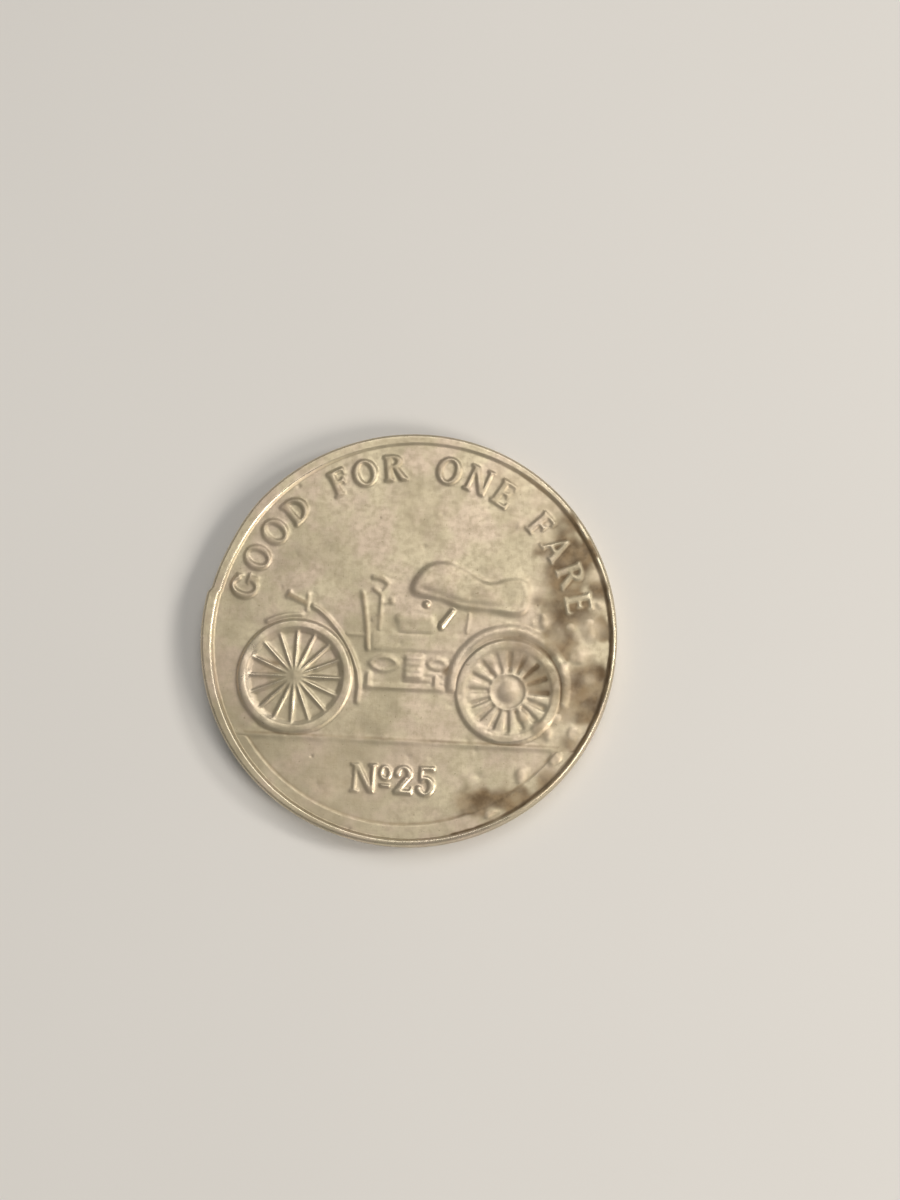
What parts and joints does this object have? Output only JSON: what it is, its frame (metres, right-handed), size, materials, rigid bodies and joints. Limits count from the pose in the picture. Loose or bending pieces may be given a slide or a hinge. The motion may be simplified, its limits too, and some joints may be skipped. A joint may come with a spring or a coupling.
{
  "type": "struck metal fare token",
  "caption": "Round struck metal fare token: a high-wheel motor buggy on a ground line under an arched legend, and a numeral in a laurel wreath on the back.",
  "frame": {"origin": "middle of the reverse rim plane, which is the face that the token rests on", "axes": "+Z out of the obverse, +Y to the top of the obverse design, +X to its right"},
  "size_m": [0.026, 0.026, 0.0018],
  "materials": {
    "struck_metal": "worn, matte, warm grey, with grime in the recesses"
  },
  "bodies": {
    "root": {"token_blank": "struck_metal", "relief_legend": "struck_metal", "relief_number": "struck_metal", "relief_ground_line": "struck_metal", "relief_front_wheel": "struck_metal", "relief_rear_wheel": "struck_metal", "relief_front_mudguard": "struck_metal", "relief_rear_mudguard": "struck_metal", "relief_body_panel": "struck_metal", "relief_chassis_rail": "struck_metal", "relief_springs": "struck_metal", "relief_engine": "struck_metal", "relief_dash_board": "struck_metal", "relief_steering_tiller": "struck_metal", "relief_seat": "struck_metal", "relief_folded_top": "struck_metal", "relief_top_props": "struck_metal", "relief_headlamp": "struck_metal", "reverse_legend": "struck_metal", "reverse_bead_circle": "struck_metal", "reverse_numeral": "struck_metal", "reverse_wreath": "struck_metal"}
  },
  "joints": []
}
